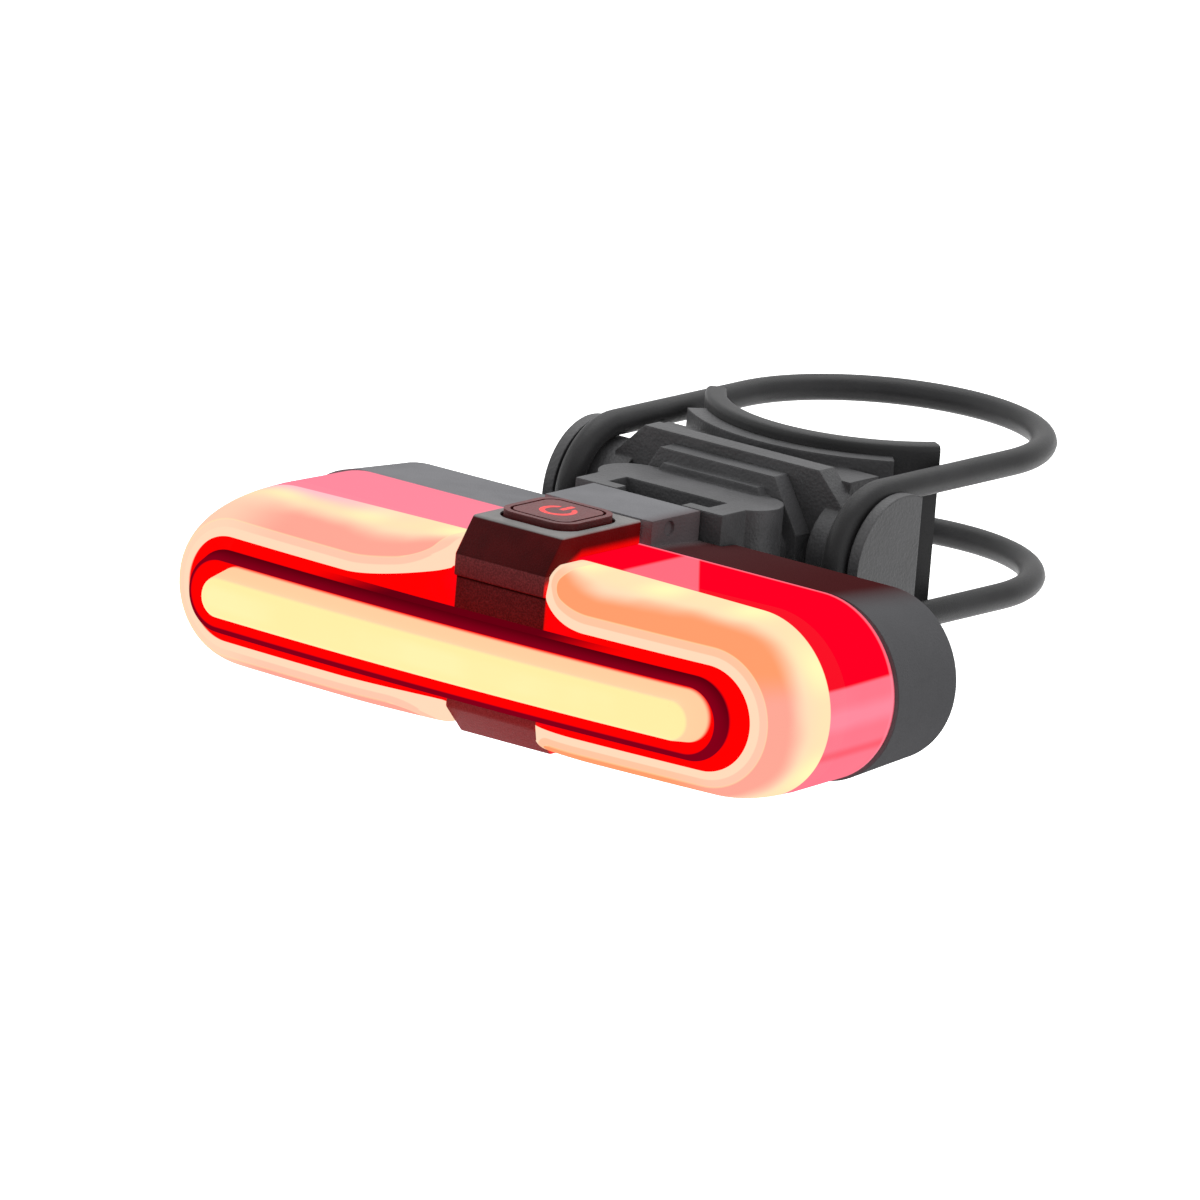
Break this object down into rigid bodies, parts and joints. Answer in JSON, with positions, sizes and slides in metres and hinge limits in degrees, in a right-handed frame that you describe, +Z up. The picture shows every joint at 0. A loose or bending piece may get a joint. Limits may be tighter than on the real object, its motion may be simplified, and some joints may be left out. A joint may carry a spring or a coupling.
{
  "type": "bike rear light",
  "caption": "Long rounded bicycle rear light with a raised centre strip, lit ring lens and top button, sliding into a bracket that a rubber ring holds on the seatpost.",
  "frame": {"origin": "on the seatpost axis at mid-height of the rubber pad", "axes": "+Z up along the seatpost, the light shines towards -Y, +X to the viewer's right"},
  "size_m": [0.0688, 0.079, 0.0301],
  "materials": {
    "housing": "fine matt texture",
    "clear_red": "clear red, polished",
    "lit_ring": "lit diffuser",
    "lit_red": "lit red",
    "dark_red": "satin",
    "lit_strip": "lit diffuser",
    "button": "satin",
    "mark": "lit",
    "rubber": "matt",
    "board": "solder mask",
    "led": "cast resin",
    "metal": "plated",
    "cell": "foil",
    "foam": "open cell",
    "seal": "matt",
    "screw": "blackened",
    "bracket": "fine matt texture"
  },
  "bodies": {
    "bracket": {"bracket_body": "bracket", "bracket_base": "bracket", "base_screws": "screw", "rubber_pad": "rubber", "rubber_band": "rubber", "tab_pin": "metal"},
    "head": {"rear_housing": "housing", "side_lens": "clear_red", "ring_lens_left": "lit_ring", "ring_lens_right": "lit_ring", "red_seat": "lit_red", "front_frame": "dark_red", "strip_lens": "lit_strip", "centre_bridge": "dark_red", "button_seal": "rubber", "circuit_board": "board", "ring_leds": "led", "strip_leds": "led", "tact_switch": "metal", "battery_cell": "cell", "battery_pad": "foam", "usb_port": "metal", "housing_seal": "seal", "housing_screws": "screw", "slide_tongue": "housing", "tongue_screws": "screw"},
    "button": {"power_button": "button", "button_mark": "mark"},
    "cover": {"port_cover": "rubber"},
    "catch": {"release_tab": "bracket"}
  },
  "joints": [
    {"name": "head_slide", "type": "slide", "parent": "bracket", "child": "head", "axis": [0, 0, 1], "range_m": [0, 0.03]},
    {"name": "button_press", "type": "slide", "parent": "head", "child": "button", "axis": [0, 0, -1], "range_m": [0, 0.0005], "stiffness_N_per_m": 400, "springref_m": -0.0005},
    {"name": "cover_hinge", "type": "hinge", "parent": "head", "child": "cover", "pos_m": [0.014, -0.0359, -0.01325], "axis": [0, 1, 0], "range_deg": [0, 95], "stiffness_Nm_per_rad": 0.002},
    {"name": "catch_hinge", "type": "hinge", "parent": "bracket", "child": "catch", "pos_m": [0, -0.02765, -0.011], "axis": [-1, 0, 0], "range_deg": [0, 8], "stiffness_Nm_per_rad": 0.05, "springref_deg": -1.15}
  ]
}
